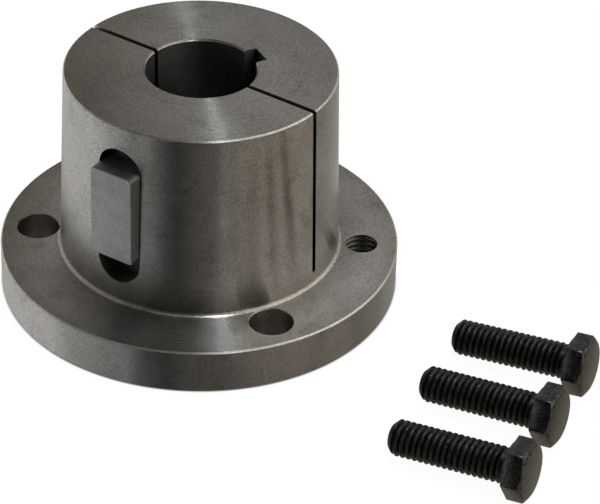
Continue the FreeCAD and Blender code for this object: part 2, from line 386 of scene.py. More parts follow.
world = paint_world()
print("the world has", len(world.node_tree.nodes), "nodes")

# %% [markdown]
# ## The floor
# The object stands on white paper that has no edge in the picture. One wide square is enough
# for that, but metal should mirror the room in it, not paper, so its paint does the work.
#
# An upright wall mirrors light at twice its own turn: the part of the barrel that faces 10
# degrees away from the camera shows what lies 20 degrees away. A ray that comes down on the
# floor close by has had no room to spread so far yet. So the low ring is bent on the floor:
# near the object its directions open up to twice as fast, and further out they run straight.
# Beside the flange, on the side where the ring is warm, the object's own shade dims it.
#
# The floor also keeps a trace of the object's shadow: a small share of its white is real
# light on a matt surface, and the rest is its own glow.

# %% The point that is being shaded
class Spot:
    """The point that is being shaded: its place, and its distance from the bushing's axis."""

    def __init__(self, nodes):
        self.nodes = nodes
        self.place = nodes.add("ShaderNodeTexCoord", output="Object")
        self.x = nodes.add("ShaderNodeSeparateXYZ", {}, {0: self.place})
        self.y = self.x.output("Y")
        self.z = self.x.output("Z")
        self.radius = (self.x * self.x + self.y * self.y) ** 0.5

    def towards(self, azimuth):
        """How far it lies from the axis in one direction on the floor plan."""
        return self.x * math.cos(azimuth) + self.y * math.sin(azimuth)


CAMERA_AZIMUTH = math.atan2(CAMERA_PLACE.y, CAMERA_PLACE.x)
print("the camera's azimuth in degrees:", round(math.degrees(CAMERA_AZIMUTH), 1))

# %% The low ring on the floor
QUARTER_TURN = math.pi / 2
BEND_REACH = 53.7 * MM
BEND_POWER = 2.4
NEAR_REACH = (64.0 * MM, 90.0 * MM)
# How much of the low ring the floor beside the flange keeps, by azimuth.
NEAR_RING = [
    (-180, 1.0, 0.0),
    (-60, 0.95, 0.0),
    (-41, 0.7, 0.0),
    (-37, 0.36, 0.0),
    (-33, 0.6, 0.0),
    (-11, 0.54, 0.0),
    (25, 0.56, 0.0),
    (80, 0.78, 0.0),
    (120, 0.8, 0.0),
    (140, 1.0, 0.0),
    (180, 1.0, 0.0),
]


def floor_ring(spot):
    """The low ring on the floor.

    The angle from the camera's side is multiplied by one and a power of the bend's
    reach over the distance from the axis, which is nearly two beside the flange.
    """
    nodes = spot.nodes
    sideways = spot.towards(CAMERA_AZIMUTH + QUARTER_TURN)
    angle = sideways.math("ARCTAN2", spot.towards(CAMERA_AZIMUTH))
    angle = angle * (1.0 + (BEND_REACH / spot.radius) ** BEND_POWER) + CAMERA_AZIMUTH
    near = 1.0 - nodes.step(spot.radius, *NEAR_REACH)
    ring = ring_light(nodes, angle, LOW_RING)
    return nodes.blend(near, ring, ring_light(nodes, angle, NEAR_RING), "MULTIPLY")


print_extremes("the flange's shade on the floor", NEAR_RING)

# %% Paint for the floor
FLANGE_RADIUS = cad_box[1][1]
FLANGE_FOOTPRINT = (FLANGE_RADIUS - 0.5 * MM, FLANGE_RADIUS + 0.5 * MM)
FLOOR_WHITE = 0.9
SHADOW_SHARE = 0.045
HOLE_LIGHT = 0.31


def paint_floor():
    """White for the camera, apart from a trace of shadow, and the low ring for metal.

    Little light reaches the floor under the flange, so it hardly shines there.
    """
    material = bpy.data.materials.new("floor")
    nodes = Nodes(material)
    spot = Spot(nodes)
    open_floor = nodes.step(spot.radius, *FLANGE_FOOTPRINT)
    path = nodes.add("ShaderNodeLightPath", output="Is Camera Ray")
    for_camera = path + path.output("Is Transmission Ray")
    for_metal = path.output("Is Glossy Ray")
    mirrored = for_metal * between(open_floor, HOLE_LIGHT, 1.0)
    glow = nodes.blend(mirrored, BLACK, floor_ring(spot))
    glow = nodes.blend(for_camera * open_floor, glow, grey(1.0 - SHADOW_SHARE * FLOOR_WHITE))
    matt_share = 1.0 - for_metal - for_camera * (1.0 - SHADOW_SHARE)
    matt_colour = nodes.blend(matt_share, BLACK, grey(FLOOR_WHITE))
    matt = nodes.add("ShaderNodeBsdfDiffuse", {}, {"Color": matt_colour})
    shine = nodes.add("ShaderNodeEmission", {}, {"Color": glow})
    both = nodes.add("ShaderNodeAddShader", {}, {0: matt, 1: shine})
    nodes.add("ShaderNodeOutputMaterial", {}, {"Surface": both})
    return material


floor_paint = paint_floor()
print("the floor's paint has", len(floor_paint.node_tree.nodes), "nodes")

# %% Floor
FLOOR_HALF = 3.0


def make_floor(paint):
    """A wide square at the height that the flange stands on."""
    half = FLOOR_HALF
    corners = [(-half, -half, 0), (half, -half, 0), (half, half, 0), (-half, half, 0)]
    mesh = bpy.data.meshes.new("floor")
    mesh.from_pydata(corners, [], [(0, 1, 2, 3)])
    mesh.materials.append(paint)
    floor = bpy.data.objects.new("floor", mesh)
    bpy.context.scene.collection.objects.link(floor)
    return floor


floor = make_floor(floor_paint)
print("the floor is", 2 * FLOOR_HALF, "m wide and has", len(floor.data.polygons), "face")

# %% [markdown]
# ## Lamps
# Two lamps add what the rings lack. A broad one overhead lights the floor, so that the
# object's faint shadow falls softly on all sides. Metal doesn't mirror that one. A small
# bluish one hangs almost straight above. Turned metal draws its reflection out into a line
# across the tool marks, which is the thin bright ray on the top face and on the flange. The
# ray could be painted on the faces, but it would stay there when the camera moves.

# %% Lamps
# Name, azimuth, height angle, distance in metres, width and height in metres, watts,
# colour, and whether metal mirrors it.
LAMPS = [
    ("top_lamp", 100.0, 78.0, 1.4, (0.9, 0.9), 8.0, (1.0, 1.0, 1.0), False),
    ("ray_lamp", 36.0, 82.7, 1.2, (0.04, 0.04), 2.6, (0.88, 0.95, 1.0), True),
]


def make_lamp(name, azimuth, height, distance, extent, watts, colour, mirrored):
    """A rectangular lamp on a sphere round the object, turned to face it."""
    data = bpy.data.lights.new(name, "AREA")
    data.shape = "RECTANGLE"
    data.size, data.size_y = extent
    data.energy = watts
    data.color = colour
    lamp = bpy.data.objects.new(name, data)
    lamp.visible_glossy = mirrored
    bpy.context.scene.collection.objects.link(lamp)
    turn = math.radians(azimuth)
    rise = math.radians(height)
    level = math.cos(rise)
    place = Vector((level * math.cos(turn), level * math.sin(turn), math.sin(rise)))
    lamp.location = place * distance
    lamp.rotation_euler = place.to_track_quat("Z", "Y").to_euler()
    return lamp


for lamp_facts in LAMPS:
    lamp = make_lamp(*lamp_facts)
    print(lamp.name, "hangs at", in_mm(lamp.location), "mm")

# %% [markdown]
# ## Turned steel
# A lathe leaves fine rings on flat faces and fine hoops on round ones. Modelled as grooves
# they would take millions of faces. Together they act as a roughness that is greater across
# the marks than along them: an anisotropic shader with its direction turned a quarter. That
# shader spreads light at most ten times as far one way as the other, and the ray on the
# flat faces is narrower still. So the rings there are also a real bump, finer than a pixel,
# whose height depends on the distance from the axis.
#
# Handling leaves smudges, stains and scratches. The outer edges and the foot's fillet are
# painted brighter, as a painted highlight. The flange's upper face is painted lighter on its
# +X side and darker and browner on its -X side, as painted light and shade, and its rim is
# dimmer. The barrel is painted darker and browner at its foot, most in front, and on one side
# of its end face, as painted shade. A turning tool has left one fine circle on the end face.
#
# The bore, the keyseat and the saw cuts are painted dark, as painted shade where little
# light reaches in, and their steel is rougher. A point lies in one of them if it is nearer to
# the axis than the taper is at its height, so a mask needs no more than the taper's own formula.
#
# A mask is a wire from 0 to 1 that says where something is. Its limits come in pairs: where
# the change begins, and where it is complete.

# %% Sizes of the bushing
FLANGE_THICKNESS = 12.0 * MM
BARREL_FOOT_RADIUS = 36.7 * MM
# Three quarters of an inch in a foot on the diameter, and half of that on the radius.
TAPER_SLOPE = 0.75 / 12 / 2
BARREL_TOP = cad_box[1][2]
EDGE_BREAK = 0.4 * MM
FOOT_FILLET = 0.9 * MM


def taper_depth(spot):
    """How far a point lies inside the taper: its radius at that height, less the point's."""
    return BARREL_FOOT_RADIUS - (spot.z - FLANGE_THICKNESS) * TAPER_SLOPE - spot.radius


print("flange radius and height of the barrel in mm:", in_mm([FLANGE_RADIUS, BARREL_TOP]))

# %% Where the steel is flat, and where it is cut and painted with shade
FACE_DISTANCE = (0.05 * MM, 0.3 * MM)
RECESS_DEPTH = (0.1 * MM, 1.0 * MM)
RECESS_ABOVE_FLOOR = (0.3 * MM, 0.6 * MM)
RECESS_BELOW_TOP = (0.42 * MM, 0.6 * MM)
SUNK_HEIGHT = (FLANGE_THICKNESS - 0.03 * MM, FLANGE_THICKNESS)


def face_mask(spot, height):
    """1 on the flat face at a height."""
    return 1.0 - spot.nodes.step(abs(spot.z - height), *FACE_DISTANCE)


def flat_mask(spot):
    """1 on the flange's two faces and on the barrel's end."""
    flange = face_mask(spot, 0.0).math("MAXIMUM", face_mask(spot, FLANGE_THICKNESS))
    return flange.math("MAXIMUM", face_mask(spot, BARREL_TOP))


# Where this mask is 1, the steel is painted darker and is rougher: painted shade in the recesses.
def recess_mask(spot):
    """1 on the walls of the bore, the keyseat and the saw cuts, and 0 elsewhere.

    The flange's underside and the barrel's end face are left out by height.
    """
    nodes = spot.nodes
    inside = nodes.step(taper_depth(spot), *RECESS_DEPTH)
    above = nodes.step(spot.z, *RECESS_ABOVE_FLOOR)
    below = nodes.step(BARREL_TOP - spot.z, *RECESS_BELOW_TOP)
    return inside * above * below


def sunk_mask(spot):
    """1 below the flange's upper face."""
    return 1.0 - spot.nodes.step(spot.z, *SUNK_HEIGHT)


print("flat faces at heights in mm:", in_mm([0.0, FLANGE_THICKNESS, BARREL_TOP]))

# %% Where edges are painted with a highlight
EDGE_DISTANCE = (0.8 * EDGE_BREAK, 1.1 * EDGE_BREAK)
FILLET_DISTANCE = (0.8 * FOOT_FILLET, FOOT_FILLET)
FILLET_START = (0.0, 0.1 * MM)


# Where this mask is 1, the steel is painted brighter: a painted highlight on the edges.
def edge_highlight_mask(spot):
    """1 on the flange's and the barrel's outer edges and on the fillet between them.

    A point is on an edge if it is within the edge break of both faces that meet there.
    """
    nodes = spot.nodes
    height = spot.z - FLANGE_THICKNESS
    depth = taper_depth(spot)
    from_side = FLANGE_RADIUS - spot.radius
    upper = from_side.math("MAXIMUM", abs(height))
    lower = from_side.math("MAXIMUM", spot.z)
    barrel = depth.math("MAXIMUM", BARREL_TOP - spot.z)
    nearest = upper.math("MINIMUM", lower).math("MINIMUM", barrel)
    outer = 1.0 - nodes.step(nearest, *EDGE_DISTANCE)
    from_corner = height.math("MAXIMUM", -depth)
    fillet = (1.0 - nodes.step(from_corner, *FILLET_DISTANCE)) * nodes.step(height, *FILLET_START)
    return outer.math("MAXIMUM", fillet)


print("an edge mark's width in mm:", in_mm(EDGE_DISTANCE))

# %% Where the barrel is painted with shade
FOOT_SHADE_AZIMUTH = math.radians(-58.0)
FOOT_SHADE_SPREAD = (0.9 * BARREL_FOOT_RADIUS, BARREL_FOOT_RADIUS)
FOOT_SHADE_AT_BACK = 0.5
FOOT_SHADE_START = (FLANGE_THICKNESS, FLANGE_THICKNESS + 0.5 * MM)
FOOT_SHADE_END = (FLANGE_THICKNESS, 24.0 * MM)
END_SHADE_AZIMUTH = math.radians(-150.0)
END_SHADE_SPREAD = (-5.0 * MM, BARREL_FOOT_RADIUS)
END_SHADE_HEIGHT = (BARREL_TOP - 0.3 * MM, BARREL_TOP)


def barrel_shade_mask(spot):
    """1 where the barrel is painted darker and browner, as painted shade: at its foot, and on
    one side of its end face.

    At the foot it is strongest in front.
    """
    nodes = spot.nodes
    foot_shade = nodes.step(spot.z, *FOOT_SHADE_START) * (1.0 - nodes.step(spot.z, *FOOT_SHADE_END))
    in_front = nodes.step(spot.towards(FOOT_SHADE_AZIMUTH), *FOOT_SHADE_SPREAD)
    foot_shade = foot_shade * between(in_front, FOOT_SHADE_AT_BACK, 1.0)
    end_shade = nodes.step(spot.towards(END_SHADE_AZIMUTH), *END_SHADE_SPREAD)
    return foot_shade.math("MAXIMUM", end_shade * nodes.step(spot.z, *END_SHADE_HEIGHT))


# This prints how high the barrel's painted shade at its foot reaches.
print("dried oil reaches up to, in mm:", in_mm(FOOT_SHADE_END[1:]))

# %% Stains, scratches and the tool's circle
# A noise is given by its scale per metre, its detail and its roughness.
STAIN_NOISE = (150.0, 3.0, 0.7)
STAIN_CUT = (0.56, 0.7)
SCRATCH_NOISE = (1.0, 1.0, 0.5)
SCRATCH_CUT = (0.62, 0.7)
SCRATCH_AZIMUTH = math.radians(35.0)
SCRATCH_LENGTH = 14.0 * MM
SCRATCH_WIDTH = 0.5 * MM
CIRCLE_RADIUS = 19.5 * MM
CIRCLE_WIDTH = 0.4 * MM


def stain_mask(spot):
    """1 on scattered stains, from noise that is cut off above its middle values."""
    return spot.nodes.step(spot.nodes.noise(spot.place, *STAIN_NOISE), *STAIN_CUT)


def scratch_mask(spot):
    """1 on thin scratches that lie across the flat faces, and 0 between them.

    Noise that is drawn out along one direction is cut off just above its middle values.
    """
    nodes = spot.nodes
    along = spot.towards(SCRATCH_AZIMUTH) / SCRATCH_LENGTH
    across = spot.towards(SCRATCH_AZIMUTH + QUARTER_TURN) / SCRATCH_WIDTH
    stretched = nodes.add("ShaderNodeCombineXYZ", {}, {0: along, 1: across})
    return nodes.step(nodes.noise(stretched, *SCRATCH_NOISE), *SCRATCH_CUT)


def circle_mask(spot):
    """1 on the fine circle that a turning tool has left."""
    return 1.0 - spot.nodes.step(abs(spot.radius - CIRCLE_RADIUS), 0.0, CIRCLE_WIDTH)


print("scratches are", round(SCRATCH_LENGTH / SCRATCH_WIDTH), "times as long as wide")

# %% Painted light and shade on the flange, and its dimmer rim
CLEAN_RADIUS = 46.0 * MM
SIDE_LIGHT_SPREAD = (BARREL_FOOT_RADIUS + FOOT_FILLET, CLEAN_RADIUS)
RIM_SPREAD = (CLEAN_RADIUS, FLANGE_RADIUS)


def side_light_share(spot):
    """Towards 1 on the flange's +X side, painted lighter, and -1 on its -X side, painted darker and
    browner, as painted light and shade.
    """
    outwards = spot.nodes.step(spot.radius, *SIDE_LIGHT_SPREAD)
    return spot.x / FLANGE_RADIUS * outwards * face_mask(spot, FLANGE_THICKNESS)


def rim_mask(spot):
    """Towards 1 at the rim of the flange's upper face."""
    return spot.nodes.step(spot.radius, *RIM_SPREAD) * face_mask(spot, FLANGE_THICKNESS)


print("the rim's mark is wide, in mm:", in_mm([FLANGE_RADIUS - CLEAN_RADIUS]))

# %% Tool marks
TOOL_MARK_NOISE = (1.0, 3.0, 0.5)
TOOL_MARK_WIDTH = 0.3 * MM
TOOL_MARK_WAVES = 3.0
HEIGHT_STRETCH = 1.37
FACE_MARK_HEIGHT = 0.1 * MM
TAPER_MARK_HEIGHT = 0.008 * MM


def tool_marks(spot):
    """Noise that is fine across the tool marks and nearly even along them.

    Two of its coordinates are the direction from the axis, times a few waves. The third
    is the distance across the marks over their width: outwards on a flat face and
    upwards on the taper, so radius and height are added, the height a little stretched.
    """
    across = (spot.radius + spot.z * HEIGHT_STRETCH) / TOOL_MARK_WIDTH
    turn_x = spot.x / spot.radius * TOOL_MARK_WAVES
    turn_y = spot.y / spot.radius * TOOL_MARK_WAVES
    vector = spot.nodes.add("ShaderNodeCombineXYZ", {}, {0: turn_x, 1: turn_y, 2: across})
    return spot.nodes.noise(vector, *TOOL_MARK_NOISE)


def tool_mark_bump(spot, marks, flat):
    """A bump whose height is the marks' own, much lower on the taper than on a face."""
    height = marks * between(flat, TAPER_MARK_HEIGHT, FACE_MARK_HEIGHT)
    return spot.nodes.add("ShaderNodeBump", {}, {"Height": height, "Strength": 1.0, "Distance": 1.0})


print("tool marks across 10 mm of a face:", round(10 * MM / TOOL_MARK_WIDTH))

# %% Brightness of turned steel
STEEL_LEVEL = 0.42
SMUDGE_NOISE = (55.0, 4.0, 0.6)
GRAIN_NOISE = (2200.0, 2.0, 0.8)
MARK_CONTRAST = 0.3
SMUDGE_CONTRAST = 0.7
GRAIN_CONTRAST = 1.7
SCRATCH_GAIN = 0.1
CIRCLE_GAIN = 0.17
# How much the painted light lightens the flange's +X side and darkens its -X side.
SIDE_LIGHT_GAIN = 0.38
# What is left of the brightness under each mask.
# The level under the barrel's painted shade.
BARREL_SHADE_LEVEL = 0.5
STAIN_LEVEL = 0.8
RIM_LEVEL = 0.84
# The level under the painted shade in the recesses.
RECESS_SHADE_LEVEL = 0.27
# The level under the painted highlight on the edges.
EDGE_HIGHLIGHT_LEVEL = 1.8


def clean_tone(spot, marks, smudges, flat):
    """Brightness about 1: tool marks, smudges, grain, and thin light lines on flat faces."""
    grain = spot.nodes.noise(spot.place, *GRAIN_NOISE)
    tone = 1.0 + swing(marks, MARK_CONTRAST) + swing(smudges, SMUDGE_CONTRAST)
    tone = tone + swing(grain, GRAIN_CONTRAST)
    return tone + flat * (scratch_mask(spot) * SCRATCH_GAIN + circle_mask(spot) * CIRCLE_GAIN)


def worn_and_shaded_tone(tone, side_light, masks_and_levels):
    """Brightness with wear, dirt, and painted light and shade: each mask leaves a share of it, its
    level.
    """
    tone = tone * (1.0 + side_light * SIDE_LIGHT_GAIN)
    for mask, level in masks_and_levels:
        tone = tone * between(mask, 1.0, level)
    return tone * STEEL_LEVEL


# This prints the steel's level under the painted shade in the recesses, and under the painted
# highlight on the edges.
print("oily steel is", round(STEEL_LEVEL * RECESS_SHADE_LEVEL, 3), "and an edge", STEEL_LEVEL * EDGE_HIGHLIGHT_LEVEL)

# %% Roughness of turned steel
TAPER_ROUGHNESS = 0.27
FACE_ROUGHNESS = 0.24
SMUDGE_ROUGHNESS = 0.08
OILY_ROUGHNESS = 0.16
EDGE_ROUGHNESS = 0.1


def steel_roughness(smudges, flat, recess, edges):
    """Roughness with smudges about it, and more of it in the recesses and on the edges."""
    roughness = between(flat, TAPER_ROUGHNESS, FACE_ROUGHNESS) + swing(smudges, SMUDGE_ROUGHNESS)
    return roughness + recess * OILY_ROUGHNESS + edges * EDGE_ROUGHNESS


print("roughness of the taper and of a recess:", TAPER_ROUGHNESS, TAPER_ROUGHNESS + OILY_ROUGHNESS)

# %% Tint of turned steel
# Warmth where the smudges are thin, and where they are thick.
SMUDGE_WARMTH = (0.075, 0.015)
# The brown that goes with the barrel's painted shade.
BARREL_SHADE_WARMTH = 0.11


def steel_tint(nodes, smudges, barrel_shade, side_light):
    """A tint about white, and brown with the barrel's painted shade and on the flange's darker -X
    side.
    """
    tint = nodes.blend(smudges, *(grey(1.0, warmth) for warmth in SMUDGE_WARMTH))
    brown = barrel_shade.math("MAXIMUM", -side_light)
    return nodes.blend(brown, tint, grey(1.0, BARREL_SHADE_WARMTH))


# This prints the brown of the barrel's painted shade.
print("brown of dried oil:", [round(channel, 3) for channel in grey(1.0, BARREL_SHADE_WARMTH)])

# %% Turned steel
STEEL_ANISOTROPY = 0.95
# The direction across the marks, as a share of a turn.
ACROSS_THE_MARKS = 0.25


def neutral(nodes, tone):
    """The grey colour of a brightness that varies."""
    return nodes.add("ShaderNodeCombineColor", {}, {0: tone, 1: tone, 2: tone})


def finish_metal(nodes, inputs):
    """End a material as bare metal, whose shader takes these inputs."""
    shader = nodes.add("ShaderNodeBsdfPrincipled", {}, {"Metallic": 1.0, **inputs})
    nodes.add("ShaderNodeOutputMaterial", {}, {"Surface": shader})


def turned_steel(name, sunk_level):
    """A metal with fine rings about the z axis.

    sunk_level is its brightness below the flange's face, where it is painted dimmer as painted
    shade, as a share of that above.
    """
    material = bpy.data.materials.new(name)
    nodes = Nodes(material)
    spot = Spot(nodes)
    flat = flat_mask(spot)
    recess = recess_mask(spot)
    edges = edge_highlight_mask(spot)
    barrel_shade = barrel_shade_mask(spot)
    side_light = side_light_share(spot)
    marks = tool_marks(spot)
    smudges = nodes.noise(spot.place, *SMUDGE_NOISE)

    # The stains are the steel's own and the rim is dimmer. The barrel's, the recesses' and the sunk
    # part's masks are painted shade, and the edges' a painted highlight.
    masks_and_levels = [
        (barrel_shade, BARREL_SHADE_LEVEL),
        (stain_mask(spot), STAIN_LEVEL),
        (rim_mask(spot), RIM_LEVEL),
        (recess, RECESS_SHADE_LEVEL),
        (sunk_mask(spot), sunk_level),
        (edges, EDGE_HIGHLIGHT_LEVEL),
    ]
    tone = worn_and_shaded_tone(clean_tone(spot, marks, smudges, flat), side_light, masks_and_levels)
    tint = steel_tint(nodes, smudges, barrel_shade, side_light)
    inputs = {
        "Base Color": nodes.blend(1.0, tint, neutral(nodes, tone), "MULTIPLY"),
        "Roughness": steel_roughness(smudges, flat, recess, edges),
        "Anisotropic": STEEL_ANISOTROPY,
        "Anisotropic Rotation": ACROSS_THE_MARKS,
        "Normal": tool_mark_bump(spot, marks, flat),
    }
    finish_metal(nodes, inputs)
    return material


steel_material = turned_steel("turned_steel", sunk_level=1.0)
print("turned steel has", len(steel_material.node_tree.nodes), "nodes")

# %% [markdown]
# ## Key steel
# The key is cut from cold drawn bar. Its faces are matt and slightly mottled, with no
# direction to them. The turned steel could serve here with its rings left out, but a finish
# of its own is shorter: plain roughness with a fine grain and a few dark pits.

# %% Key steel
KEY_LEVEL = 0.37
KEY_ROUGHNESS = 0.36
KEY_MOTTLE_NOISE = (320.0, 4.0, 0.65)
KEY_GRAIN_NOISE = (2200.0, 2.0, 0.5)
PIT_NOISE = (900.0, 1.0, 0.5)
PIT_CUT = (0.24, 0.32)
PIT_LEVEL = 0.75
KEY_CONTRAST = 0.6
KEY_ROUGHNESS_CONTRAST = 0.16
KEY_MOTTLE_SHARE = 0.6
BUMP_STRENGTH = 0.6
KEY_BUMP = 0.02 * MM


def fine_bump(nodes, first, second, first_share, distance):
    """A shallow bump from two noises, of which the first has a given share."""
    height = first * first_share + second * (1.0 - first_share)
    inputs = {"Height": height, "Strength": BUMP_STRENGTH, "Distance": distance}
    return nodes.add("ShaderNodeBump", {}, inputs)


def key_steel():
    """Grey steel with a mottle, a fine grain and small dark pits, and no direction."""
    material = bpy.data.materials.new("key_steel")
    nodes = Nodes(material)
    place = nodes.add("ShaderNodeTexCoord", output="Object")
    mottle = nodes.noise(place, *KEY_MOTTLE_NOISE)
    grain = nodes.noise(place, *KEY_GRAIN_NOISE)
    pits = 1.0 - nodes.step(nodes.noise(place, *PIT_NOISE), *PIT_CUT)
    tone = 1.0 + swing(mottle, KEY_CONTRAST) + swing(grain, KEY_CONTRAST)
    tone = tone * between(pits, 1.0, PIT_LEVEL) * KEY_LEVEL
    inputs = {
        "Base Color": neutral(nodes, tone),
        "Roughness": KEY_ROUGHNESS + swing(mottle, KEY_ROUGHNESS_CONTRAST),
        "Normal": fine_bump(nodes, mottle, grain, KEY_MOTTLE_SHARE, KEY_BUMP),
    }
    finish_metal(nodes, inputs)
    return material


key_material = key_steel()
print("key steel has", len(key_material.node_tree.nodes), "nodes")

# %% [markdown]
# ## Black oxide
# The screws are blacked in a hot salt bath and lightly oiled. The skin is nearly black
# head on, and shows a soft grey shine where it mirrors something bright. Forging leaves a
# shallow unevenness under it. A black paint under a clear coat would come close. A very dark
# metal is simpler, and mirrors the two rings as the steel does.

# %% Black oxide
OXIDE_LEVEL = 0.084
OXIDE_ROUGHNESS = 0.28
OXIDE_TINT = 0.02
THREAD_LEVEL = 0.56
THREAD_ROUGHNESS = 0.1
FORGED_NOISE = (620.0, 3.0, 0.6)
FORGED_CONTRAST = 2.2
FORGED_ROUGHNESS = 0.2
FORGED_SHARE = 0.7
OXIDE_GRAIN_NOISE = (1500.0, 2.0, 0.7)
OXIDE_GRAIN_CONTRAST = 2.6
OXIDE_BUMP = 0.06 * MM


def black_oxide():
    """A nearly black metal with a mottle from forging and a fine grain.

    The thread is darker and rougher than the head. The mesh says where, in an attribute.
    """
    material = bpy.data.materials.new("black_oxide")
    nodes = Nodes(material)
    place = nodes.add("ShaderNodeTexCoord", output="Object")
    threaded = nodes.add("ShaderNodeAttribute", {"attribute_name": "threaded"}, output="Fac")
    forged = nodes.noise(place, *FORGED_NOISE)
    grain = nodes.noise(place, *OXIDE_GRAIN_NOISE)
    tone = 1.0 + swing(forged, FORGED_CONTRAST) + swing(grain, OXIDE_GRAIN_CONTRAST)
    tone = tone * between(threaded, 1.0, THREAD_LEVEL) * OXIDE_LEVEL
    channels = {0: tone * (1.0 + OXIDE_TINT), 1: tone, 2: tone * (1.0 - OXIDE_TINT)}
    roughness = OXIDE_ROUGHNESS + swing(forged, FORGED_ROUGHNESS) + threaded * THREAD_ROUGHNESS
    inputs = {
        "Base Color": nodes.add("ShaderNodeCombineColor", {}, channels),
        "Roughness": roughness,
        "Normal": fine_bump(nodes, forged, grain, FORGED_SHARE, OXIDE_BUMP),
    }
    finish_metal(nodes, inputs)
    return material


oxide_material = black_oxide()
print("black oxide has", len(oxide_material.node_tree.nodes), "nodes")

# %% [markdown]
# ## Dress the CAD pieces
# The bushing and its key could be made again here, with rounder arcs. They keep the meshes
# that the CAD model gave them, because those are exact, and only get their finish.

# %% Bushing and key
def dress(node, material):
    """Give a CAD node a finish of its own."""
    mesh = frame["nodes"][node].data
    mesh.materials.clear()
    mesh.materials.append(material)
    print(node, "has", len(mesh.polygons), "faces, and is dressed in", material.name)


dress("flanged_bushing", steel_material)
dress("barrel_key", key_material)

# %% [markdown]
# ## A thread as a surface
# A thread is a groove that climbs a cylinder by one pitch in each turn. Its surface is a
# grid: one parameter goes round the axis, and the other goes along it. The second is
# shifted by the turn made so far, so that the rows follow the groove and its crest stays
# sharp. Rows that run past an end are pressed flat against it, and the points that then
# coincide are merged. Blender's Screw modifier also sweeps a tooth round an axis, but leaves
# both ends open and ragged.

# %% The shape of a tooth
TIP_ROUNDING = 0.93
CREST_BREADTH = 1.8


def tooth(phase):
    """Height of a rounded tooth, from 0 at its root to 1 at its crest.

    The arcsine of a cosine is a triangle wave. Shrinking the cosine a little first
    rounds the wave's tips. A power of what is missing from 1 then makes its crests
    broad and its roots narrow, as rolled threads are.
    """
    wave = np.arcsin(TIP_ROUNDING * np.cos(2 * np.pi * phase))
    height = 0.5 + 0.5 * wave / math.asin(TIP_ROUNDING)
    return 1.0 - (1.0 - height) ** CREST_BREADTH


print("tooth from crest to root:", tooth(np.linspace(0.0, 0.5, 5)).round(2).tolist())

# %% Rows of a thread
THREAD_PITCH = 25.4 / 16 * MM
ROWS_PER_PITCH = 10


def thread_rows(turns, start, end):
    """Places along the axis and tooth heights, for a grid of rows round the axis.

    turns is each column's share of a full turn. A point lies at the start plus the
    pitch times the sum of its row's number of pitches and its share of a turn, held
    between start and end. Its tooth height follows from that place less its turn.
    """
    pitches = abs(end - start) / THREAD_PITCH
    count = int(np.ceil((pitches + 1) * ROWS_PER_PITCH))
    rows = np.arange(-ROWS_PER_PITCH, count + 1)[:, None] / ROWS_PER_PITCH
    travel = np.clip(rows + turns[None, :], 0.0, pitches)
    places = start + np.sign(end - start) * THREAD_PITCH * travel
    return places, tooth(travel - turns[None, :])


print("pitches in the flange's thickness:", round(FLANGE_THICKNESS / THREAD_PITCH, 2))

# %% From a grid to a closed piece
MERGE_DISTANCE = 0.001 * MM


def clean_mesh(mesh):
    """Merge points that coincide, drop what that flattens, and turn faces outwards."""
    work = bmesh.new()
    work.from_mesh(mesh)
    bmesh.ops.remove_doubles(work, verts=work.verts, dist=MERGE_DISTANCE)
    bmesh.ops.dissolve_degenerate(work, edges=work.edges, dist=MERGE_DISTANCE)
    bmesh.ops.recalc_face_normals(work, faces=work.faces)
    open_edges = sum(1 for edge in work.edges if not edge.is_manifold)
    print(mesh.name, "has", len(work.faces), "faces and", open_edges, "open edges")
    work.to_mesh(mesh)
    work.free()


def piece_from_grid(name, points, material, sharp_angle, plain_rows=0):
    """A closed piece from a grid of points, with its coinciding points merged.

    Each face joins four neighbours in the grid. The first and last columns meet. The
    rows after the plain ones are marked as threaded in an attribute.
    """
    rows, columns = points.shape[:2]
    index = np.arange(rows * columns).reshape(rows, columns)
    faces = np.stack([index[:-1, :-1], index[:-1, 1:], index[1:, 1:], index[1:, :-1]], axis=-1)
    mesh = bpy.data.meshes.new(name)
    mesh.from_pydata(points.reshape(-1, 3).tolist(), [], faces.reshape(-1, 4).tolist())
    threaded = (index >= plain_rows * columns).astype(np.float32)
    mesh.attributes.new("threaded", "FLOAT", "POINT").data.foreach_set("value", threaded.ravel())
    clean_mesh(mesh)
    mesh.shade_smooth()
    mesh.set_sharp_from_angle(angle=sharp_angle)
    mesh.materials.append(material)
    piece = bpy.data.objects.new(name, mesh)
    bpy.context.scene.collection.objects.link(piece)
    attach(piece, "root")
    return piece


print("points within", MERGE_DISTANCE / MM, "mm of each other are merged")

# %% [markdown]
# ## Threads in the jack holes
# The CAD model cuts each jack hole to the thread's outer diameter. Cutting a thread into
# the flange would change its mesh, which stays as it is, so a thin threaded lining fills
# the difference. It is made as one closed ring: down the thread, out along the bottom, up
# inside the metal, and in along the top, level with the flange. At each end the groove runs
# out a little short of the face, which leaves a clean round mouth. Less light reaches the
# hole than the faces, so the lining is the same steel, but dimmer.

# %% Steel of the lining
# The lining is painted dimmer below the flange's face, as painted shade.
TAPPED_SHADE_LEVEL = 0.33
tapped_material = turned_steel("tapped_steel", sunk_level=TAPPED_SHADE_LEVEL)
print("the lining's steel has", len(tapped_material.node_tree.nodes), "nodes")

# %% Jack hole linings
JACK_CREST_RADIUS = 4.08 * MM
LINING_RADIUS = 5.06 * MM
LINING_COLUMNS = 72
LINING_SHARP_ANGLE = math.radians(40.0)
# The lining stands this little proud, so that its top and the flange's don't coincide.
FACE_STEP = 0.01 * MM
MOUTH_RADIUS = 4.2 * MM
MOUTH_SLOPE = 2.0
THREAD_TURN = 0.42


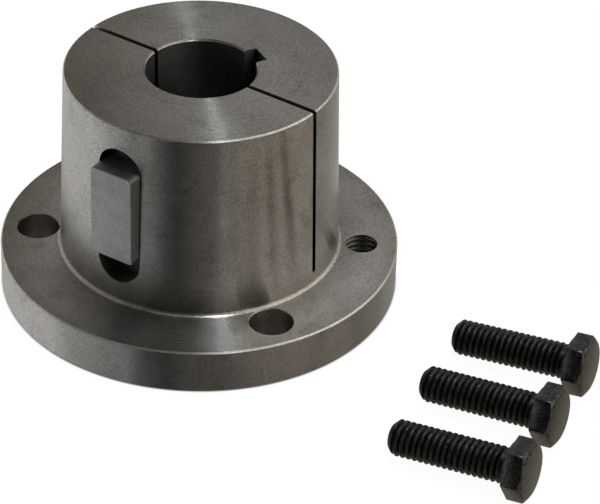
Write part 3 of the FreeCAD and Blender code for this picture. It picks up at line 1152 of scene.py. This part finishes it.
def jack_lining(name, mount):
    """A threaded lining at a mount, which gives the hole's place and outer radius.

    Its radius goes from that one in to the crest's with the tooth's height. Near an end
    it is held between the mouth's less the distance to that end and the mouth's plus a
    slope times that distance.
    """
    root_radius = mount["dims"]["r_mm"] * MM
    centre = np.array(mount["pos_m"])
    top = 2 * centre[2] + FACE_STEP
    turns = np.linspace(0.0, 1.0, LINING_COLUMNS + 1)
    heights, teeth = thread_rows(turns, top, FACE_STEP)
    radii = root_radius + (JACK_CREST_RADIUS - root_radius) * teeth
    depth = np.minimum(top - heights, heights - FACE_STEP)
    radii = np.clip(radii, MOUTH_RADIUS - depth, MOUTH_RADIUS + depth * MOUTH_SLOPE)
    wall = np.full_like(turns, LINING_RADIUS)
    upper = np.full_like(turns, top)
    lower = np.full_like(turns, FACE_STEP)
    heights = np.vstack([upper, heights, lower, upper])
    radii = np.vstack([wall, radii, wall, wall])
    angle = 2 * np.pi * (turns + THREAD_TURN)
    x = centre[0] + radii * np.cos(angle)
    y = centre[1] + radii * np.sin(angle)
    points = np.stack([x, y, heights], axis=-1)
    piece = piece_from_grid(name, points, tapped_material, LINING_SHARP_ANGLE)
    return piece


mounts = {mount["name"]: mount for mount in frame["record"]["mounts"]}
for number in (1, 2):
    jack_lining(f"jack_thread_{number}", mounts[f"jack_hole_{number}"])

# %% [markdown]
# ## Cap screws
# Each screw is turned and rolled from one blank, so it is one surface: out from the middle
# of the head, over its chamfer, down its six flats, in under the washer face, along the
# thread and in across the point. Every point has a share of a turn and a place on that
# profile, and only the flats and the thread depend on the turn. A prism, a cylinder and a
# few Booleans would give the same head, but with long thin faces that shade unevenly.
#
# The screw's place comes from the CAD node, whose surface spreads most along its own axis.

# %% Where a screw lies
def node_triangles(node):
    """Corners of a CAD node's triangles, as an array of n by 3 by 3."""
    mesh = frame["nodes"][node].data
    mesh.calc_loop_triangles()
    places = np.empty(len(mesh.vertices) * 3)
    mesh.vertices.foreach_get("co", places)
    corners = np.empty(len(mesh.loop_triangles) * 3, dtype=np.int32)
    mesh.loop_triangles.foreach_get("vertices", corners)
    return places.reshape(-1, 3)[corners].reshape(-1, 3, 3)


def long_axis(node):
    """Middle of a node, the unit vector along it towards its wide end, and how far that is.

    A triangle's share of the spread is its area times the sum of its corners' squares
    and nine times its middle's square. The long axis is the direction of most spread.
    """
    corners = node_triangles(node)
    sides = corners[:, 1:] - corners[:, :1]
    areas = np.linalg.norm(np.cross(sides[:, 0], sides[:, 1]), axis=1)
    middle = np.average(corners.mean(axis=1), axis=0, weights=areas)
    arms = corners - middle
    centres = arms.mean(axis=1)
    spread = np.einsum("n,nki,nkj->ij", areas, arms, arms)
    spread += 9 * np.einsum("n,ni,nj->ij", areas, centres, centres)
    axis = np.linalg.eigh(spread)[1][:, -1]
    points = arms.reshape(-1, 3)
    along = points @ axis
    off_axis = np.linalg.norm(points - along[:, None] * axis, axis=1)
    axis = axis * np.sign(along[off_axis.argmax()])
    return middle, axis, (points @ axis).max()


SCREW_NODES = ("cap_screw_1", "cap_screw_2", "cap_screw_3")
for node in SCREW_NODES:
    middle, axis, head_end = long_axis(node)
    print(node, "has its middle at", in_mm(middle), "and points along", axis.round(3).tolist())

# %% The hexagon of the head
HEAD_FLATS = 13.9 * MM
HEAD_CORNER = 0.35 * MM
SIDES = 6
# Half of the angle that one side takes up, seen from the axis.
HALF_SIDE_ANGLE = math.pi / SIDES
COLUMNS_PER_FLAT = 10


def hexagon_turns():
    """Shares of a turn, closer together near the hexagon's corners.

    Half of three times the step less its cube spreads them over a flat, because the slope
    of that cubic is nought at both ends.
    """
    step = np.linspace(-1.0, 1.0, COLUMNS_PER_FLAT + 1)[:-1]
    within = (3 * step - step**3) / 2
    flats = np.arange(SIDES)[:, None]
    turns = (flats + 0.5 + within / 2) / SIDES
    return np.append(turns.ravel(), 1.0)


def hexagon_radius(turns):
    """Distance from the axis to a hexagon with rounded corners, in each direction.

    Off a flat's middle by an angle, a flat is half the flats' distance over the
    angle's cosine away. A corner is a small circle whose centre lies on the line to it.
    Off that line by an angle, the circle is the centre's distance times the cosine away,
    plus the root of its radius squared less the square of that distance times the sine.
    """
    from_flat = ((turns * SIDES) % 1 - 0.5) * 2 * HALF_SIDE_ANGLE
    flat = HEAD_FLATS / 2 / np.cos(from_flat)
    from_corner = HALF_SIDE_ANGLE - np.abs(from_flat)
    centre = (HEAD_FLATS / 2 - HEAD_CORNER) / math.cos(HALF_SIDE_ANGLE)
    circle = centre * np.cos(from_corner)
    circle += np.sqrt(np.maximum(HEAD_CORNER**2 - (centre * np.sin(from_corner)) ** 2, 0.0))
    tangent = (HEAD_CORNER / 2, centre + HEAD_CORNER * math.cos(HALF_SIDE_ANGLE))
    rounded = np.abs(from_corner) < math.atan2(*tangent)
    return np.where(rounded, circle, flat)


print("across the corners in mm:", in_mm([2 * hexagon_radius(hexagon_turns()).max()]))

# %% The profile of the head
HEAD_HEIGHT = 5.55 * MM
HEAD_CHAMFER_RADIUS = 6.45 * MM
HEAD_CHAMFER_ANGLE = math.radians(30.0)
HEAD_EDGE = 0.14 * MM
WASHER_RADIUS = 6.6 * MM
WASHER_HEIGHT = 0.4 * MM
NECK_RADIUS = 4.3 * MM
NECK_LENGTH = 0.5 * MM


def soften(profile, width):
    """Replace each inner corner of a profile by two points, one on either side of it.

    Each lies off the corner by the width, along the unit vector to the next point there.
    """
    corners = profile[1:-1]
    back = profile[:-2] - corners
    onward = profile[2:] - corners
    back = back / np.linalg.norm(back, axis=-1, keepdims=True)
    onward = onward / np.linalg.norm(onward, axis=-1, keepdims=True)
    pairs = np.stack([corners + back * width, corners + onward * width], axis=1)
    pairs = pairs.reshape(-1, *profile.shape[1:])
    return np.concatenate([profile[:1], pairs, profile[-1:]])


def head_profile(turns):
    """Radius and height of the head's rows, from the middle of its end to its neck.

    The chamfer is a cone: below the end face by the tangent of its angle times the
    distance outside its circle.
    """
    outline = hexagon_radius(turns)
    drop = (outline - HEAD_CHAMFER_RADIUS) * math.tan(HEAD_CHAMFER_ANGLE)
    rows = [
        (0.0, HEAD_HEIGHT),
        (HEAD_CHAMFER_RADIUS, HEAD_HEIGHT),
        (outline, HEAD_HEIGHT - drop),
        (outline, WASHER_HEIGHT),
        (WASHER_RADIUS, WASHER_HEIGHT),
        (WASHER_RADIUS, 0.0),
        (NECK_RADIUS, 0.0),
        (NECK_RADIUS, -NECK_LENGTH),
    ]
    profile = np.empty((len(rows), len(turns), 2))
    for row, (radius, height) in enumerate(rows):
        profile[row, :, 0] = radius
        profile[row, :, 1] = height
    return soften(profile, HEAD_EDGE)


print("rows and columns of the head:", head_profile(hexagon_turns()).shape[:2])

# %% The profile of the shank
SHANK_RADIUS = 4.6125 * MM
THREAD_DEPTH = 0.8 * MM
SCREW_LENGTH = 31.2 * MM
SCREW_POINT = 1.4 * MM
RUN_OUT = 1.6 * MM


def shank_profile(turns):
    """Radius and height of the thread's rows, from the neck to the middle of the point.

    The thread rises out of the neck over its run-out, and the point is a cone at 45
    degrees that cuts it off.
    """
    heights, teeth = thread_rows(turns, -NECK_LENGTH, -SCREW_LENGTH)
    rise = np.clip((-NECK_LENGTH - heights) / RUN_OUT, 0.0, 1.0)
    thread = SHANK_RADIUS - THREAD_DEPTH * (1.0 - teeth)
    radii = NECK_RADIUS + (thread - NECK_RADIUS) * rise
    cone = SHANK_RADIUS - SCREW_POINT + (heights + SCREW_LENGTH)
    radii = np.minimum(radii, cone)
    middle = np.stack([np.zeros_like(turns), np.full_like(turns, -SCREW_LENGTH)], axis=-1)
    return np.concatenate([np.stack([radii, heights], axis=-1), middle[None]])


print("rows and columns of the shank:", shank_profile(hexagon_turns()).shape[:2])

# %% The screws
SCREW_SHARP_ANGLE = math.radians(50.0)
STRAIGHT_DOWN = np.array([0.0, 0.0, -1.0])


def threaded_screw(name, node):
    """A screw in the place of a CAD node, with one of its flats towards the floor.

    A point is the head's seat plus its radius times a direction across the axis, turned
    from straight down by its share of a turn, plus its height times the axis.
    """
    middle, axis, head_end = long_axis(node)
    down = STRAIGHT_DOWN - axis * (axis @ STRAIGHT_DOWN)
    down = down / np.linalg.norm(down)
    sideways = np.cross(axis, down)
    seat = middle + axis * (head_end - HEAD_HEIGHT)
    turns = hexagon_turns()
    head = head_profile(turns)
    profile = np.concatenate([head, shank_profile(turns)])
    angle = 2 * np.pi * turns - HALF_SIDE_ANGLE
    out = np.cos(angle)[:, None] * down + np.sin(angle)[:, None] * sideways
    points = seat + profile[..., :1] * out[None] + profile[..., 1:] * axis
    piece = piece_from_grid(name, points, oxide_material, SCREW_SHARP_ANGLE, plain_rows=len(head))
    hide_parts(node)
    return piece


for node in SCREW_NODES:
    threaded_screw(f"threaded_{node.removeprefix('cap_')}", node)
